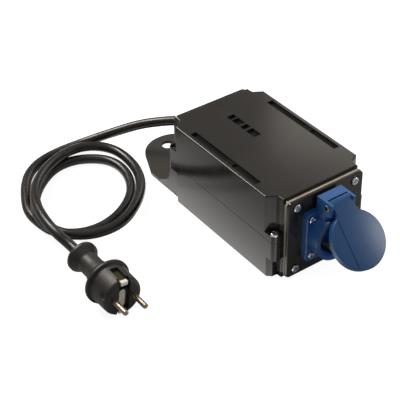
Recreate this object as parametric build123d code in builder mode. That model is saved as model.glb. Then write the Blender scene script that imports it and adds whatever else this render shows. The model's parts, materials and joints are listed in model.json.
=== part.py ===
from build123d import *
import os
from math import cos, pi, radians, sin, sqrt, tan

# An inrush current limiter: a black plastic box with a mains outlet on its front end and a rubber
# cord with an earthed plug on its rear end. The origin is the bottom centre of the box, +Z is up,
# the outlet faces -Y, the cord leaves towards +Y. All sizes are millimetres.

os.makedirs("parts", exist_ok=True)

# Box
body_width = 100.0
body_length = 129.0
body_height = 84.5
split_height = 41.6
wall = 2.5
top_wall = 4.0
notch_width = 9.5
notch_depth = 12.5
edge_round = 1.2
end_width = body_width - 2 * notch_width
end_length = body_length + 2 * notch_depth
facet_first = 0.22
facet_second = 0.4
facet_third = 0.54
facet_in = 1.2
facet_out = 0.5

# Corner lugs of the upper shell and corner columns of the lower shell
lug_height = 6.0
rear_lug_height = 15.4
lug_screw_inset = 4.4
lug_beyond_end = 0.8
lug_panel_gap = 0.95
pad_overlap = 1.0
front_column_bottom = split_height - 19.6
rear_column_bottom = split_height - 7.6
seam_chamfer = 0.5
foot_reach = 3.0
foot_height = front_column_bottom
lug_face = end_length / 2 + lug_beyond_end
lug_screw_x = body_width / 2 - lug_screw_inset
lug_screw_y = lug_face - lug_screw_inset

# Slots in the top
slot_depth = 2.8
slot_tab_depth = 1.2
side_slot_width = 6.2
side_slot_length = 93.6
side_slot_edge = 3.8
side_slot_tab_length = 9.5
side_slot_tab_y = -7.2
centre_slot_width = 7.8
centre_slots = [(46.8, 5.5), (37.4, 10.2), (27.0, 6.0), (15.2, 12.5)]

# End panels and their seals; the front one sits on a raised rim of the shells
front_rim_depth = 3.0
front_rim_inset = 0.5
panel_overhang = 0.25
panel_bottom = 3.6
panel_top_gap = 1.3
panel_corner = 4.0
panel_edge_round = 0.7
gasket_proud = 0.35
gasket_depth = 1.8
front_panel_depth = 2.2
rear_gasket_depth = 1.2
rear_panel_depth = 2.8
panel_screw_inset_x = panel_overhang + 9.2
panel_screw_inset_z = 7.3
panel_boss_radius = 3.9
panel_boss_depth = 9.0
panel_width = end_width + 2 * panel_overhang
panel_height = body_height - panel_top_gap - panel_bottom
panel_mid = panel_bottom + panel_height / 2
front_seat = end_length / 2 + front_rim_depth
front_panel_back = front_seat + gasket_depth
front_panel_face = front_panel_back + front_panel_depth
rear_panel_back = end_length / 2 + rear_gasket_depth
rear_panel_face = rear_panel_back + rear_panel_depth

# Screws: M4 for the box, M3 for the circuit board
screw_radius = 2.0
screw_clearance = 0.05
screw_hole = 2.2
screw_head_radius = 3.8
screw_head_height = 2.4
cross_length = 4.4
cross_width = 1.0
cross_depth = 1.3
screw_end_gap = 0.5
head_round = 0.45
panel_screw_bite = 8.0
panel_screw_sink = 0.9
panel_screw_ring = 1.1
lug_screw_bite = 6.0
sunk_head_radius = 3.1
sunk_head_gap = 0.3
sunk_head_depth = 4.6
flange_screw_head_radius = 3.4
flange_screw_sink = 1.4
board_screw_radius = 1.5
board_screw_head = 2.8
board_screw_bite = 6.0

# Hanging bracket
bracket_thickness = 3.0
bracket_half_width = end_width / 2 + 5.0
bracket_front = 66.0
taper_start = 115.5
tongue_x = -6.0
tongue_reach = 161.0
tongue_end_left = -26.0
tongue_end_right = 9.0
tongue_corner = 29.9
tongue_shoulder = 15.0
hang_hole_radius = 6.4
hang_hole_y = 144.8
web_thickness = 3.0
web_front = 70.5
web_back = 80.0
web_height = 57.0
web_knee = (81.5, 30.0)
web_ankle = (86.0, 12.4)
web_toe = 101.0
web_gap = 0.3
web_foot = 0.4
bracket_screw_x = 14.0
bracket_screw_y = 70.5
bracket_screw_bite = 9.0
bracket_boss_radius = 4.5
bracket_boss_height = 8.5
countersink_radius = 4.0
countersink_gap = 0.3

# Outlet on the front panel
socket_height = 42.3
flange_size = 50.0
flange_depth = 6.2
flange_corner = 4.0
flange_screw_spacing = 38.0
collar_radius = 23.5
collar_front = 102.0
insert_radius = 20.8
recess_radius = 19.6
recess_depth = 17.5
insert_back = 70.0
insert_gap = 0.1
panel_hole_gap = 0.4
end_window_radius = 23.0
pin_spacing = 19.0
pin_radius = 2.4
pin_length = 19.0
pin_tip_round = 1.0
contact_bore = 2.5
contact_wall = 0.9
contact_length = 12.0
contact_flange = 4.4
contact_flange_depth = 1.0
contact_tail = 4.0
shutter_hole = 3.0
clip_width = 6.0
clip_thickness = 0.8
clip_radius = 18.2
clip_gap = 0.3
flange_face = front_panel_face + flange_depth
recess_floor = collar_front - recess_depth

# Lid and its hinge
lid_open_angle = 43.2
hinge_y = 99.8
hinge_z = 76.5
hinge_pin_radius = 2.2
hinge_pin_bore = 1.6
hinge_pin_head_radius = 2.9
hinge_pin_head = 0.7
hinge_pin_head_round = 0.45
hinge_pin_fit = 0.02
hinge_running_gap = 0.06
knuckle_radius = 5.7
knuckle_half_width = 10.2
hinge_side_gap = 0.3
cheek_thickness = 2.5
cheek_radius = 8.4
cheek_front = 6.2
block_top = 82.0
block_back_gap = 2.9
block_recess_radius = 6.1
block_front = 95.8
hinge_slot_front = 98.9
hinge_slot_back = 92.8
hinge_slot_lip = 0.6
hinge_slot_bottom = 79.2
lid_radius = 25.84
lid_thickness = 2.4
lid_rim_wall = 1.74
lid_rim_depth = 5.8
tab_half_width = 11.65
tab_gap = 0.6
lid_line_x = -11.8
lid_line_width = 0.8
lid_line_depth = 0.5
lid_face_round = 0.8
seal_thickness = 0.9
seal_width = 4.4
seal_gap = 0.2
lid_reach = hinge_z - socket_height
cheek_inner = knuckle_half_width + hinge_side_gap
cheek_outer = cheek_inner + cheek_thickness

# Cable gland on the rear panel
gland_height = 42.0
thread_radius = 10.0
thread_gap = 0.2
gland_hex = 24.0
gland_hex_depth = 5.0
gland_stub_radius = 9.4
gland_stub_depth = 9.5
gland_bore = 8.0
gland_inside = 10.5
locknut_hex = 27.0
locknut_depth = 5.0
gland_window_radius = 17.0
nut_radius = 12.3
nut_tip_radius = 7.0
nut_depth = 18.0
nut_gap = 0.2
gland_seal_depth = 8.0

# Cord
cord_diameter = 9.4
cord_radius = cord_diameter / 2
floor_gap = 0.05
cord_low = cord_radius + floor_gap
cord_inside = 66.0
core_radius = 1.2
core_spacing = 3.0

# Plug
plug_x = -174.8
plug_face_y = -37.6
plug_roll = 8.0
plug_collar_radius = 21.2
plug_nose_radius = 18.7
plug_nose = 0.5
plug_collar_at = 25.3
plug_neck_radius = 9.8
plug_flange_radius = 14.4
plug_flange_at = 65.1
plug_length = 70.7
plug_end_radius = 7.4
plug_channel = 11.0
plug_channel_depth = 5.6
plug_plate_at = 2.4
pin_shank_radius = 2.1
pin_shoulder = 0.1
pin_core_gap = 2.0
core_block_radius = 14.5
core_block_depth = 14.0
plug_fit = 0.1
plug_clip_width = 6.4
plug_clip_length = 18.0
plug_groove_gap = 1.2
plug_clip_radius = 15.8
plug_clip_foot = 12.4
plug_plate_width = 5.8
plug_plate_height = 17.0
plug_plate_drop = 2.0
plug_plate_hole = 0.7
plug_plate_dots = (-1.4, 1.4)
plug_plate_dot_drop = 3.4
plug_dimple = 6.0
plug_dimple_depth = 2.5
plug_dimple_at = 4.5
plug_dimple_turn = 156.0
plug_z = plug_collar_radius
plug_right = (cos(radians(plug_roll)), 0, -sin(radians(plug_roll)))

# Circuit board and what it carries
board_width = 72.0
board_length = 94.0
board_thickness = 1.6
board_bottom = 10.0
standoff_radius = 3.5
standoff_x = 30.0
standoff_y = 41.0
terminal_width = 24.0
terminal_length = 9.0
terminal_height = 13.0
terminal_y = 36.0
terminal_pitch = 7.0
terminal_wire_height = 5.0
terminal_hole = 1.5
terminal_screw_hole = 1.9
terminal_depth = 4.0
side_row_x = 22.0
relay_y = -6.0
capacitor_y = 22.0
small_parts_x = 6.0
small_parts_y = 18.0
fuse_x = 2.0
fuse_y = -8.0
fuse_margin = 6.0
fuse_base_width = 9.0
fuse_post_margin = 1.2
fuse_post_rise = 1.0
varistor_foot = (4.0, 2.0)
resistor_edge = 0.8
case_round = 0.6
relay_size = (12.7, 29.0, 16.0)
resistor_size = (10.0, 48.0, 10.0)
resistor_lead_radius = 0.5
resistor_lead_reach = 4.0
capacitor_size = (9.0, 18.0, 15.0)
timing_capacitor_radius = 5.0
timing_capacitor_height = 13.0
varistor_radius = 5.5
varistor_thickness = 4.5
fuse_radius = 2.6
fuse_length = 20.0
fuse_cap = 5.0
fuse_post = 2.0
fuse_base_height = 3.0
fuse_height = 8.0
board_top = board_bottom + board_thickness

# Points of the cord's free stretches and the shape of its two coiled turns, on the floor plan
lead_route = [(-6, 134, 37.5), (-16, 148, 31), (-29.5, 160, 25.5), (-47.5, 173, 18), (-71.5, 191, 7.5)]
lead_floor = [(-102, 196), (-122, 192), (-138, 184), (-150, 171), (-163, 153)]
lead_exit = 15.0
lead_last = 14.0
tail_first = 14.0
tail_last = 14.0
coil_start_angle = 190.0
coil_centre = [(-122.0, 122.0), (-109.5, 117.0)]
coil_long = [55.5, 81.0]
coil_short = [41.5, 49.5]
coil_turned = [41.0, 50.5]
coil_layers = [0, 0, 0, 0, 1, 0, 0, 1, 2]
coil_layer_height = 11.0


def save(part, name):
    """Label one finished piece and write its file."""
    part.label = name
    export_step(part, f"parts/{name}.step")


def front_plane(distance):
    """Upright plane at y = -distance, looking out of the front."""
    return Plane.XZ.offset(distance)


def rear_plane(distance):
    """Upright plane at y = +distance, looking out of the rear."""
    return Plane(origin=(0, distance, 0), x_dir=(-1, 0, 0), z_dir=(0, 1, 0))


def box_outline():
    """Plan of the box: full width in the middle, narrower ends, three facets in each corner."""
    x = body_width / 2
    y = body_length / 2
    corner = [(x, y), (x - notch_width / 2, y + notch_depth * facet_first)]
    corner += [(x - notch_width + facet_in, y + notch_depth * facet_second)]
    corner += [(x - notch_width + facet_out, y + notch_depth * facet_third)]
    corner += [(x - notch_width, y + notch_depth)]
    right = [(a, -b) for a, b in reversed(corner)] + corner
    left = [(-a, b) for a, b in reversed(right)]
    with BuildSketch() as outline:
        with BuildLine():
            Polyline(*right, *left, close=True)
        make_face()
    return outline.sketch


def four_corners(width, length):
    """The four points of a rectangle about the centre."""
    return [(sx * width, sy * length) for sx in (-1, 1) for sy in (-1, 1)]


def corner_pad(ends):
    """Footprint of the corner lugs, rounded about their screws, at the chosen ends (-1 front, 1 rear)."""
    low_x = end_width / 2 - pad_overlap
    low_y = body_length / 2 - pad_overlap
    clear_x = end_width / 2 + lug_panel_gap + panel_overhang
    clear_y = end_length / 2 - web_gap
    with BuildSketch() as pads:
        for end in ends:
            for side in (-1, 1):
                with BuildLine():
                    Polyline(
                        (side * low_x, end * low_y),
                        (side * body_width / 2, end * low_y),
                        (side * body_width / 2, end * lug_face),
                        (side * clear_x, end * lug_face),
                        (side * clear_x, end * clear_y),
                        (side * low_x, end * clear_y),
                        close=True,
                    )
                make_face()
        outer = [v for v in pads.vertices() if abs(abs(v.X) - body_width / 2) < 0.01]
        fillet([v for v in outer if abs(abs(v.Y) - lug_face) < 0.01], lug_screw_inset)
    return pads.sketch


def inside_plan():
    """Plan of the space inside the walls: the wide middle and the narrower ends."""
    with BuildSketch() as plan:
        Rectangle(body_width - 2 * wall, body_length - 2 * wall)
        Rectangle(end_width - 2 * wall, end_length - 2 * wall)
    return plan.sketch


def half_plan(end):
    """The space inside the walls, cut off past the full-width middle at the other end."""
    with BuildSketch() as plan:
        Rectangle(body_width - 2 * wall, body_length - 2 * wall)
        with Locations((0, end * notch_depth / 2)):
            Rectangle(end_width - 2 * wall, end_length - notch_depth - 2 * wall)
    return plan.sketch


def front_rim(low, high):
    """Front rim that carries the outlet's panel, between two heights, open behind the outlet."""
    with BuildSketch() as rim:
        with Locations((0, panel_mid)):
            RectangleRounded(
                panel_width - 2 * front_rim_inset,
                panel_height - 2 * front_rim_inset,
                panel_corner - front_rim_inset,
            )
        with Locations((0, (low + high) / 2)):
            Rectangle(2 * panel_width, high - low, mode=Mode.INTERSECT)
        with Locations((0, socket_height)):
            Circle(end_window_radius, mode=Mode.SUBTRACT)
    return rim.sketch


def panel_screw_points():
    """Centres of an end panel's four screws, as x and height."""
    x = panel_width / 2 - panel_screw_inset_x
    z = panel_height / 2 - panel_screw_inset_z
    return [(sx * x, panel_mid + sz * z) for sx in (-1, 1) for sz in (-1, 1)]


def pan_screws(places, shank, bite, head, height, normal):
    """Pan-head screws with a cross recess; each place is a plane on the seat of the head."""
    with BuildPart() as screws:
        with Locations(*places):
            Cylinder(head, height, align=(Align.CENTER, Align.CENTER, Align.MIN))
        fillet(screws.edges().group_by(Axis((0, 0, 0), normal))[-1], height * head_round)
        with Locations(*places):
            Cylinder(shank, bite, align=(Align.CENTER, Align.CENTER, Align.MAX))
        with Locations(*[place.offset(height) for place in places]):
            Box(cross_length, cross_width, 2 * cross_depth, mode=Mode.SUBTRACT)
            Box(cross_width, cross_length, 2 * cross_depth, mode=Mode.SUBTRACT)
    return screws.part


# Upper shell
with BuildPart() as upper_shell:
    with BuildSketch(Plane.XY.offset(split_height)):
        add(box_outline())
    extrude(amount=body_height - split_height)
    fillet(upper_shell.edges().group_by(Axis.Z)[-1], edge_round)
    for end, height in ((-1, lug_height), (1, rear_lug_height)):
        with BuildSketch(Plane.XY.offset(split_height)):
            add(corner_pad((end,)))
        extrude(amount=height)
    with BuildSketch(front_plane(end_length / 2)):
        add(front_rim(split_height, body_height))
    extrude(amount=front_rim_depth)
    with BuildSketch(Plane.XY.offset(split_height)):
        add(inside_plan())
    extrude(amount=body_height - top_wall - split_height, mode=Mode.SUBTRACT)
    with Locations(*[(x, -lug_screw_y, split_height + lug_height) for x in (-lug_screw_x, lug_screw_x)]):
        Hole(screw_hole, lug_height)
    with Locations(*[(x, lug_screw_y, split_height + rear_lug_height) for x in (-lug_screw_x, lug_screw_x)]):
        CounterBoreHole(screw_hole, sunk_head_radius + sunk_head_gap, sunk_head_depth, rear_lug_height)
    upper_screws = [point for point in panel_screw_points() if point[1] > split_height]
    for seat, plane in ((front_seat, front_plane), (end_length / 2, rear_plane)):
        inside = end_length / 2 - wall
        with BuildSketch(plane(inside)):
            with Locations(*upper_screws):
                Circle(panel_boss_radius)
        extrude(amount=-panel_boss_depth)
        with BuildSketch(plane(seat)):
            with Locations(*upper_screws):
                Circle(screw_radius + screw_clearance)
        extrude(amount=-(seat - inside + panel_screw_bite), mode=Mode.SUBTRACT)
    with BuildSketch(front_plane(end_length / 2)):
        with Locations((0, socket_height)):
            Circle(end_window_radius)
    extrude(amount=-wall, mode=Mode.SUBTRACT)
    with BuildSketch(rear_plane(end_length / 2)):
        with Locations((0, gland_height)):
            Circle(gland_window_radius)
    extrude(amount=-wall, mode=Mode.SUBTRACT)
    side_x = body_width / 2 - side_slot_edge - side_slot_width / 2
    with BuildSketch(Plane.XY.offset(body_height)):
        with Locations((-side_x, 0), (side_x, 0)):
            Rectangle(side_slot_width, side_slot_length)
        with Locations((-side_x, side_slot_tab_y), (side_x, side_slot_tab_y)):
            Rectangle(side_slot_width, side_slot_tab_length, mode=Mode.SUBTRACT)
        for centre, length in centre_slots:
            with Locations((0, centre)):
                Rectangle(centre_slot_width, length)
    extrude(amount=-slot_depth, mode=Mode.SUBTRACT)
    with BuildSketch(Plane.XY.offset(body_height)):
        with Locations((-side_x, side_slot_tab_y), (side_x, side_slot_tab_y)):
            Rectangle(side_slot_width, side_slot_tab_length)
    extrude(amount=-slot_tab_depth, mode=Mode.SUBTRACT)
save(upper_shell.part, "upper_shell")

# Lower shell
with BuildPart() as lower_shell:
    with BuildSketch(Plane.XY):
        add(box_outline())
    extrude(amount=split_height)
    foot_y = body_length / 2 + foot_reach
    with BuildSketch(Plane.XY):
        for side in (-1, 1):
            with BuildLine():
                Polyline(
                    (side * (end_width / 2 - 1), 2 - body_length / 2),
                    (side * body_width / 2, 2 - body_length / 2),
                    (side * body_width / 2, -foot_y),
                    (side * (body_width / 2 - foot_reach - 1), -foot_y - foot_reach - 1),
                    (side * (end_width / 2 - 1), -foot_y - foot_reach - 1.5),
                    close=True,
                )
            make_face()
    extrude(amount=foot_height)
    fillet(lower_shell.edges().group_by(Axis.Z)[0], edge_round)
    for ends, bottom in (((-1,), front_column_bottom), ((1,), rear_column_bottom)):
        with BuildSketch(Plane.XY.offset(bottom)):
            add(corner_pad(ends))
        extrude(amount=split_height - bottom)
    outer_top = lower_shell.edges().group_by(Axis.Z)[-1]
    chamfer([e for e in outer_top if abs(e.center().Y) > body_length / 2 + 1], seam_chamfer)
    with BuildSketch(front_plane(end_length / 2)):
        add(front_rim(0, split_height))
    extrude(amount=front_rim_depth)
    with BuildSketch(Plane.XY.offset(wall)):
        add(half_plan(-1))
    extrude(amount=split_height - wall, mode=Mode.SUBTRACT)
    rear_floor = bracket_thickness + wall
    with BuildSketch(Plane.XY.offset(rear_floor)):
        add(half_plan(1))
    extrude(amount=split_height - rear_floor, mode=Mode.SUBTRACT)
    with BuildSketch(Plane.XY):
        with Locations((0, bracket_front + end_length / 2)):
            Rectangle(2 * body_width, end_length)
    extrude(amount=bracket_thickness, mode=Mode.SUBTRACT)
    column_holes = [(x, y, split_height) for x, y in four_corners(lug_screw_x, lug_screw_y)]
    with Locations(*column_holes):
        Hole(screw_radius + screw_clearance, lug_screw_bite + screw_end_gap)
    lower_screws = [point for point in panel_screw_points() if point[1] < split_height]
    for seat, plane in ((front_seat, front_plane), (end_length / 2, rear_plane)):
        inside = end_length / 2 - wall
        with BuildSketch(plane(inside)):
            with Locations(*lower_screws):
                Circle(panel_boss_radius)
        extrude(amount=-panel_boss_depth)
        with BuildSketch(plane(seat)):
            with Locations(*lower_screws):
                Circle(screw_radius + screw_clearance)
        extrude(amount=-(seat - inside + panel_screw_bite), mode=Mode.SUBTRACT)
    with BuildSketch(front_plane(end_length / 2)):
        with Locations((0, socket_height)):
            Circle(end_window_radius)
    extrude(amount=-wall, mode=Mode.SUBTRACT)
    with BuildSketch(rear_plane(end_length / 2)):
        with Locations((0, gland_height)):
            Circle(gland_window_radius)
    extrude(amount=-wall, mode=Mode.SUBTRACT)
    with BuildSketch(Plane.XY.offset(wall)):
        with Locations(*four_corners(standoff_x, standoff_y)):
            Circle(standoff_radius)
    extrude(amount=board_bottom - wall)
    with Locations(*[(x, y, board_bottom) for x, y in four_corners(standoff_x, standoff_y)]):
        Hole(board_screw_radius + screw_clearance, board_screw_bite)
    with BuildSketch(Plane.XY.offset(rear_floor)):
        with Locations((-bracket_screw_x, bracket_screw_y), (bracket_screw_x, bracket_screw_y)):
            Circle(bracket_boss_radius)
    extrude(amount=bracket_boss_height)
    with BuildSketch(Plane.XY.offset(bracket_thickness)):
        with Locations((-bracket_screw_x, bracket_screw_y), (bracket_screw_x, bracket_screw_y)):
            Circle(screw_radius + screw_clearance)
    extrude(amount=bracket_screw_bite + screw_end_gap, mode=Mode.SUBTRACT)
save(lower_shell.part, "lower_shell")


def end_panel(plane, back, depth, hole_radius, hole_height, extra_holes):
    """A flat end plate with rounded corners, its four recessed screw holes and one large hole."""
    with BuildPart() as panel:
        with BuildSketch(plane(back)):
            with Locations((0, panel_mid)):
                RectangleRounded(panel_width, panel_height, panel_corner)
            with Locations(*panel_screw_points()):
                Circle(screw_hole, mode=Mode.SUBTRACT)
            with Locations((0, hole_height)):
                Circle(hole_radius, mode=Mode.SUBTRACT)
            if extra_holes:
                with Locations(*extra_holes):
                    Circle(screw_radius + screw_clearance, mode=Mode.SUBTRACT)
        extrude(amount=depth)
        outer = panel.faces().sort_by(Axis((0, 0, 0), plane(back).z_dir))[-1].outer_wire()
        fillet(outer.edges(), panel_edge_round)
        with BuildSketch(plane(back + depth)):
            with Locations(*panel_screw_points()):
                Circle(screw_head_radius + panel_screw_ring)
        extrude(amount=-panel_screw_sink, mode=Mode.SUBTRACT)
    return panel.part


def end_gasket(plane, back, depth, proud, hole_radius, hole_height):
    """The seal between the shells and an end plate; its edge may stand a little proud."""
    with BuildPart() as gasket:
        with BuildSketch(plane(back)):
            with Locations((0, panel_mid)):
                RectangleRounded(panel_width + 2 * proud, panel_height + 2 * proud, panel_corner + proud)
            with Locations(*panel_screw_points()):
                Circle(screw_hole, mode=Mode.SUBTRACT)
            with Locations((0, hole_height)):
                Circle(hole_radius, mode=Mode.SUBTRACT)
        extrude(amount=depth)
    return gasket.part


flange_half = flange_screw_spacing / 2
flange_points = [(x, socket_height + z) for x, z in four_corners(flange_half, flange_half)]
save(
    end_panel(
        front_plane, front_panel_back, front_panel_depth, insert_radius + panel_hole_gap, socket_height, flange_points
    ),
    "front_panel",
)
save(
    end_gasket(front_plane, front_seat, gasket_depth, gasket_proud, end_window_radius, socket_height), "front_gasket"
)
save(
    end_panel(rear_plane, rear_panel_back, rear_panel_depth, thread_radius + thread_gap, gland_height, []),
    "rear_panel",
)
save(
    end_gasket(rear_plane, end_length / 2, rear_gasket_depth, 0, gland_window_radius, gland_height), "rear_gasket"
)

# Screws of the box
rear_head_seat = rear_lug_height - sunk_head_depth
with BuildPart() as shell_screws:
    for y, seat, head in (
        (-lug_screw_y, lug_height, screw_head_radius),
        (lug_screw_y, rear_head_seat, sunk_head_radius),
    ):
        places = [Plane(origin=(x, y, split_height + seat)) for x in (-lug_screw_x, lug_screw_x)]
        add(pan_screws(places, screw_radius, seat + lug_screw_bite, head, screw_head_height, (0, 0, 1)))
save(shell_screws.part, "shell_screws")


def panel_screw_places(plane, seat):
    """Planes on the seats of an end panel's screw heads."""
    base = plane(seat)
    return [Plane(base.from_local_coords((x, z, 0)), base.x_dir, base.z_dir) for x, z in panel_screw_points()]


for plane, face, name in ((front_plane, front_panel_face, "front"), (rear_plane, rear_panel_face, "rear")):
    screw_seat = face - panel_screw_sink
    screw_bite = screw_seat - end_length / 2 + wall + panel_screw_bite - screw_end_gap
    save(
        pan_screws(
            panel_screw_places(plane, screw_seat),
            screw_radius,
            screw_bite,
            screw_head_radius,
            screw_head_height,
            plane(face).z_dir,
        ),
        f"{name}_panel_screws",
    )

# Hanging bracket: floor plate with a rounded tongue, a hole to hang it by and two side webs
with BuildPart() as hanging_bracket:
    with BuildSketch(Plane.XY) as tongue:
        with BuildLine():
            Polyline(
                (bracket_half_width, bracket_front),
                (bracket_half_width, taper_start),
                (tongue_end_right, tongue_reach),
                (tongue_end_left, tongue_reach),
                (-bracket_half_width, taper_start),
                (-bracket_half_width, bracket_front),
                close=True,
            )
        make_face()
        fillet(tongue.vertices().group_by(Axis.Y)[-1], tongue_corner)
        shoulders = [v for v in tongue.vertices() if abs(v.Y - taper_start) < 0.01]
        fillet(shoulders, tongue_shoulder)
        with Locations((tongue_x, hang_hole_y)):
            Circle(hang_hole_radius, mode=Mode.SUBTRACT)
    extrude(amount=bracket_thickness)
    for side in (-1, 1):
        near = side * bracket_half_width
        web_plane = Plane(origin=(near, 0, 0), x_dir=(0, 1, 0), z_dir=(1, 0, 0))
        under_column = rear_column_bottom - web_gap
        with BuildSketch(web_plane):
            with BuildLine():
                Polyline(
                    web_ankle,
                    (web_toe, bracket_thickness + web_foot),
                    (web_toe, bracket_thickness / 2),
                    (web_front, bracket_thickness / 2),
                    (web_front, under_column),
                    (lug_face + web_gap, under_column),
                    (lug_face + web_gap, web_height),
                    (web_back, web_height),
                    web_knee,
                    close=True,
                )
            make_face()
        extrude(amount=-side * web_thickness)
    with Locations((-bracket_screw_x, bracket_screw_y, 0), (bracket_screw_x, bracket_screw_y, 0)):
        with Locations(Rotation(180, 0, 0)):
            CounterSinkHole(screw_hole, countersink_radius, bracket_thickness, 90)
save(hanging_bracket.part, "hanging_bracket")

with BuildPart() as bracket_screws:
    with BuildSketch(Plane.XZ):
        with BuildLine():
            cone = countersink_radius - countersink_gap - screw_radius
            Polyline(
                (0, countersink_gap),
                (countersink_radius - countersink_gap, countersink_gap),
                (screw_radius, countersink_gap + cone),
                (screw_radius, bracket_thickness + bracket_screw_bite),
                (0, bracket_thickness + bracket_screw_bite),
                close=True,
            )
        make_face()
    revolve(axis=Axis.Z)
    with Locations((0, 0, countersink_gap)):
        Box(cross_length, cross_width, 2 * cross_depth, mode=Mode.SUBTRACT)
        Box(cross_width, cross_length, 2 * cross_depth, mode=Mode.SUBTRACT)
one_screw = bracket_screws.part
with BuildPart() as bracket_screws:
    for side in (-1, 1):
        add(one_screw.moved(Location((side * bracket_screw_x, bracket_screw_y, 0))))
save(bracket_screws.part, "bracket_screws")

# Outlet: square flange, round collar and hinge block in one
block_back = flange_face - block_back_gap
with BuildPart() as socket_frame:
    with BuildSketch(front_plane(front_panel_face)):
        with Locations((0, socket_height)):
            RectangleRounded(flange_size, flange_size, flange_corner)
    extrude(amount=flange_depth)
    fillet(socket_frame.faces().sort_by(Axis.Y)[0].outer_wire().edges(), edge_round)
    with BuildSketch(front_plane(front_panel_face)):
        with Locations((0, socket_height)):
            Circle(collar_radius)
    extrude(amount=collar_front - front_panel_face)
    side_plane = Plane(origin=(-cheek_outer, 0, 0), x_dir=(0, 1, 0), z_dir=(1, 0, 0))
    with BuildSketch(side_plane) as block:
        with BuildLine():
            Polyline(
                (-block_back, socket_height + collar_radius - 4),
                (-block_back, block_top),
                (-block_front, block_top),
                (-block_front, hinge_z),
                (-hinge_y, hinge_z),
                (-hinge_y + 0.6, hinge_z - lid_reach + lid_radius + tab_gap),
                (-hinge_y + 0.6, socket_height + collar_radius - 4),
                close=True,
            )
        make_face()
        with Locations((-hinge_y, hinge_z)):
            Circle(block_recess_radius, mode=Mode.SUBTRACT)
    extrude(amount=2 * cheek_outer)
    with BuildSketch(side_plane) as cheek:
        with Locations((-hinge_y, hinge_z)):
            Circle(cheek_radius)
        with Locations((-hinge_y - cheek_front - cheek_radius, hinge_z)):
            Rectangle(2 * cheek_radius, 4 * cheek_radius, mode=Mode.SUBTRACT)
        with Locations((-hinge_y, block_top + cheek_radius)):
            Rectangle(4 * cheek_radius, 2 * cheek_radius, mode=Mode.SUBTRACT)
    extrude(amount=2 * cheek_outer)
    with BuildSketch(side_plane.offset(cheek_thickness)):
        with Locations((-hinge_y, hinge_z)):
            Circle(block_recess_radius)
        with Locations((-hinge_y - cheek_radius, hinge_z - cheek_radius / 2)):
            Rectangle(2 * cheek_radius, 3 * cheek_radius)
    extrude(amount=2 * cheek_inner, mode=Mode.SUBTRACT)
    with Locations((0, -hinge_slot_back, hinge_slot_bottom)):
        Box(
            2 * knuckle_half_width,
            hinge_slot_front - hinge_slot_back,
            block_top - hinge_slot_lip - hinge_slot_bottom,
            align=(Align.CENTER, Align.MAX, Align.MIN),
            mode=Mode.SUBTRACT,
        )
    with BuildSketch(side_plane):
        with Locations((-hinge_y, hinge_z)):
            Circle(hinge_pin_radius + hinge_pin_fit)
    extrude(amount=2 * cheek_outer, mode=Mode.SUBTRACT)
    with BuildSketch(front_plane(front_panel_face)):
        with Locations((0, socket_height)):
            Circle(insert_radius + insert_gap)
    extrude(amount=collar_front - front_panel_face, mode=Mode.SUBTRACT)
    with BuildSketch(front_plane(front_panel_face)):
        with Locations(*flange_points):
            Circle(screw_hole)
    extrude(amount=flange_depth, mode=Mode.SUBTRACT)
    with BuildSketch(front_plane(flange_face - flange_screw_sink)):
        with Locations(*flange_points):
            Circle(flange_screw_head_radius + 0.3)
    extrude(amount=flange_screw_sink + 0.1, mode=Mode.SUBTRACT)
save(socket_frame.part, "socket_frame")

flange_base = front_plane(flange_face - flange_screw_sink)
flange_places = [Plane(flange_base.from_local_coords((x, z, 0)), (1, 0, 0), (0, -1, 0)) for x, z in flange_points]
save(
    pan_screws(
        flange_places,
        screw_radius,
        flange_depth - flange_screw_sink + front_panel_depth,
        flange_screw_head_radius,
        screw_head_height,
        (0, -1, 0),
    ),
    "socket_screws",
)

# Round insert with the recess, the two pin holes and the slots for the earth strap
strap_inner = clip_radius - clip_thickness
with BuildPart() as socket_insert:
    with BuildSketch(front_plane(insert_back)):
        with Locations((0, socket_height)):
            Circle(insert_radius)
    extrude(amount=collar_front - insert_back)
    with BuildSketch(front_plane(recess_floor)):
        with Locations((0, socket_height)):
            Circle(recess_radius)
    extrude(amount=recess_depth, mode=Mode.SUBTRACT)
    fillet(socket_insert.edges().filter_by(GeomType.CIRCLE).sort_by(Axis.Y)[0], 0.5)
    with BuildSketch(front_plane(insert_back)):
        with Locations((-pin_spacing / 2, socket_height), (pin_spacing / 2, socket_height)):
            Circle(shutter_hole)
    extrude(amount=recess_floor - insert_back, mode=Mode.SUBTRACT)
    with BuildSketch(front_plane(insert_back)):
        with Locations((-pin_spacing / 2, socket_height), (pin_spacing / 2, socket_height)):
            Circle(contact_bore + contact_wall + insert_gap)
    extrude(amount=contact_length + 0.3, mode=Mode.SUBTRACT)
    with BuildSketch(front_plane(insert_back)):
        for side in (-1, 1):
            with Locations((0, socket_height + side * (clip_radius + strap_inner) / 2)):
                Rectangle(clip_width + 2 * clip_gap, clip_thickness + 2 * clip_gap)
    extrude(amount=recess_floor - insert_back, mode=Mode.SUBTRACT)
save(socket_insert.part, "socket_insert")

with BuildPart() as socket_contacts:
    contact_points = [(-pin_spacing / 2, socket_height), (pin_spacing / 2, socket_height)]
    with BuildSketch(front_plane(insert_back)):
        with Locations(*contact_points):
            Circle(contact_bore + contact_wall)
    extrude(amount=contact_length)
    with BuildSketch(front_plane(insert_back)):
        with Locations(*contact_points):
            Circle(contact_flange)
    extrude(amount=-contact_flange_depth)
    with BuildSketch(front_plane(insert_back - contact_flange_depth)):
        with Locations(*contact_points):
            Circle(contact_bore)
    extrude(amount=-(contact_tail - contact_flange_depth))
    with BuildSketch(front_plane(insert_back)):
        with Locations(*contact_points):
            Circle(contact_bore)
    extrude(amount=contact_length, mode=Mode.SUBTRACT)
save(socket_contacts.part, "socket_contacts")

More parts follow.
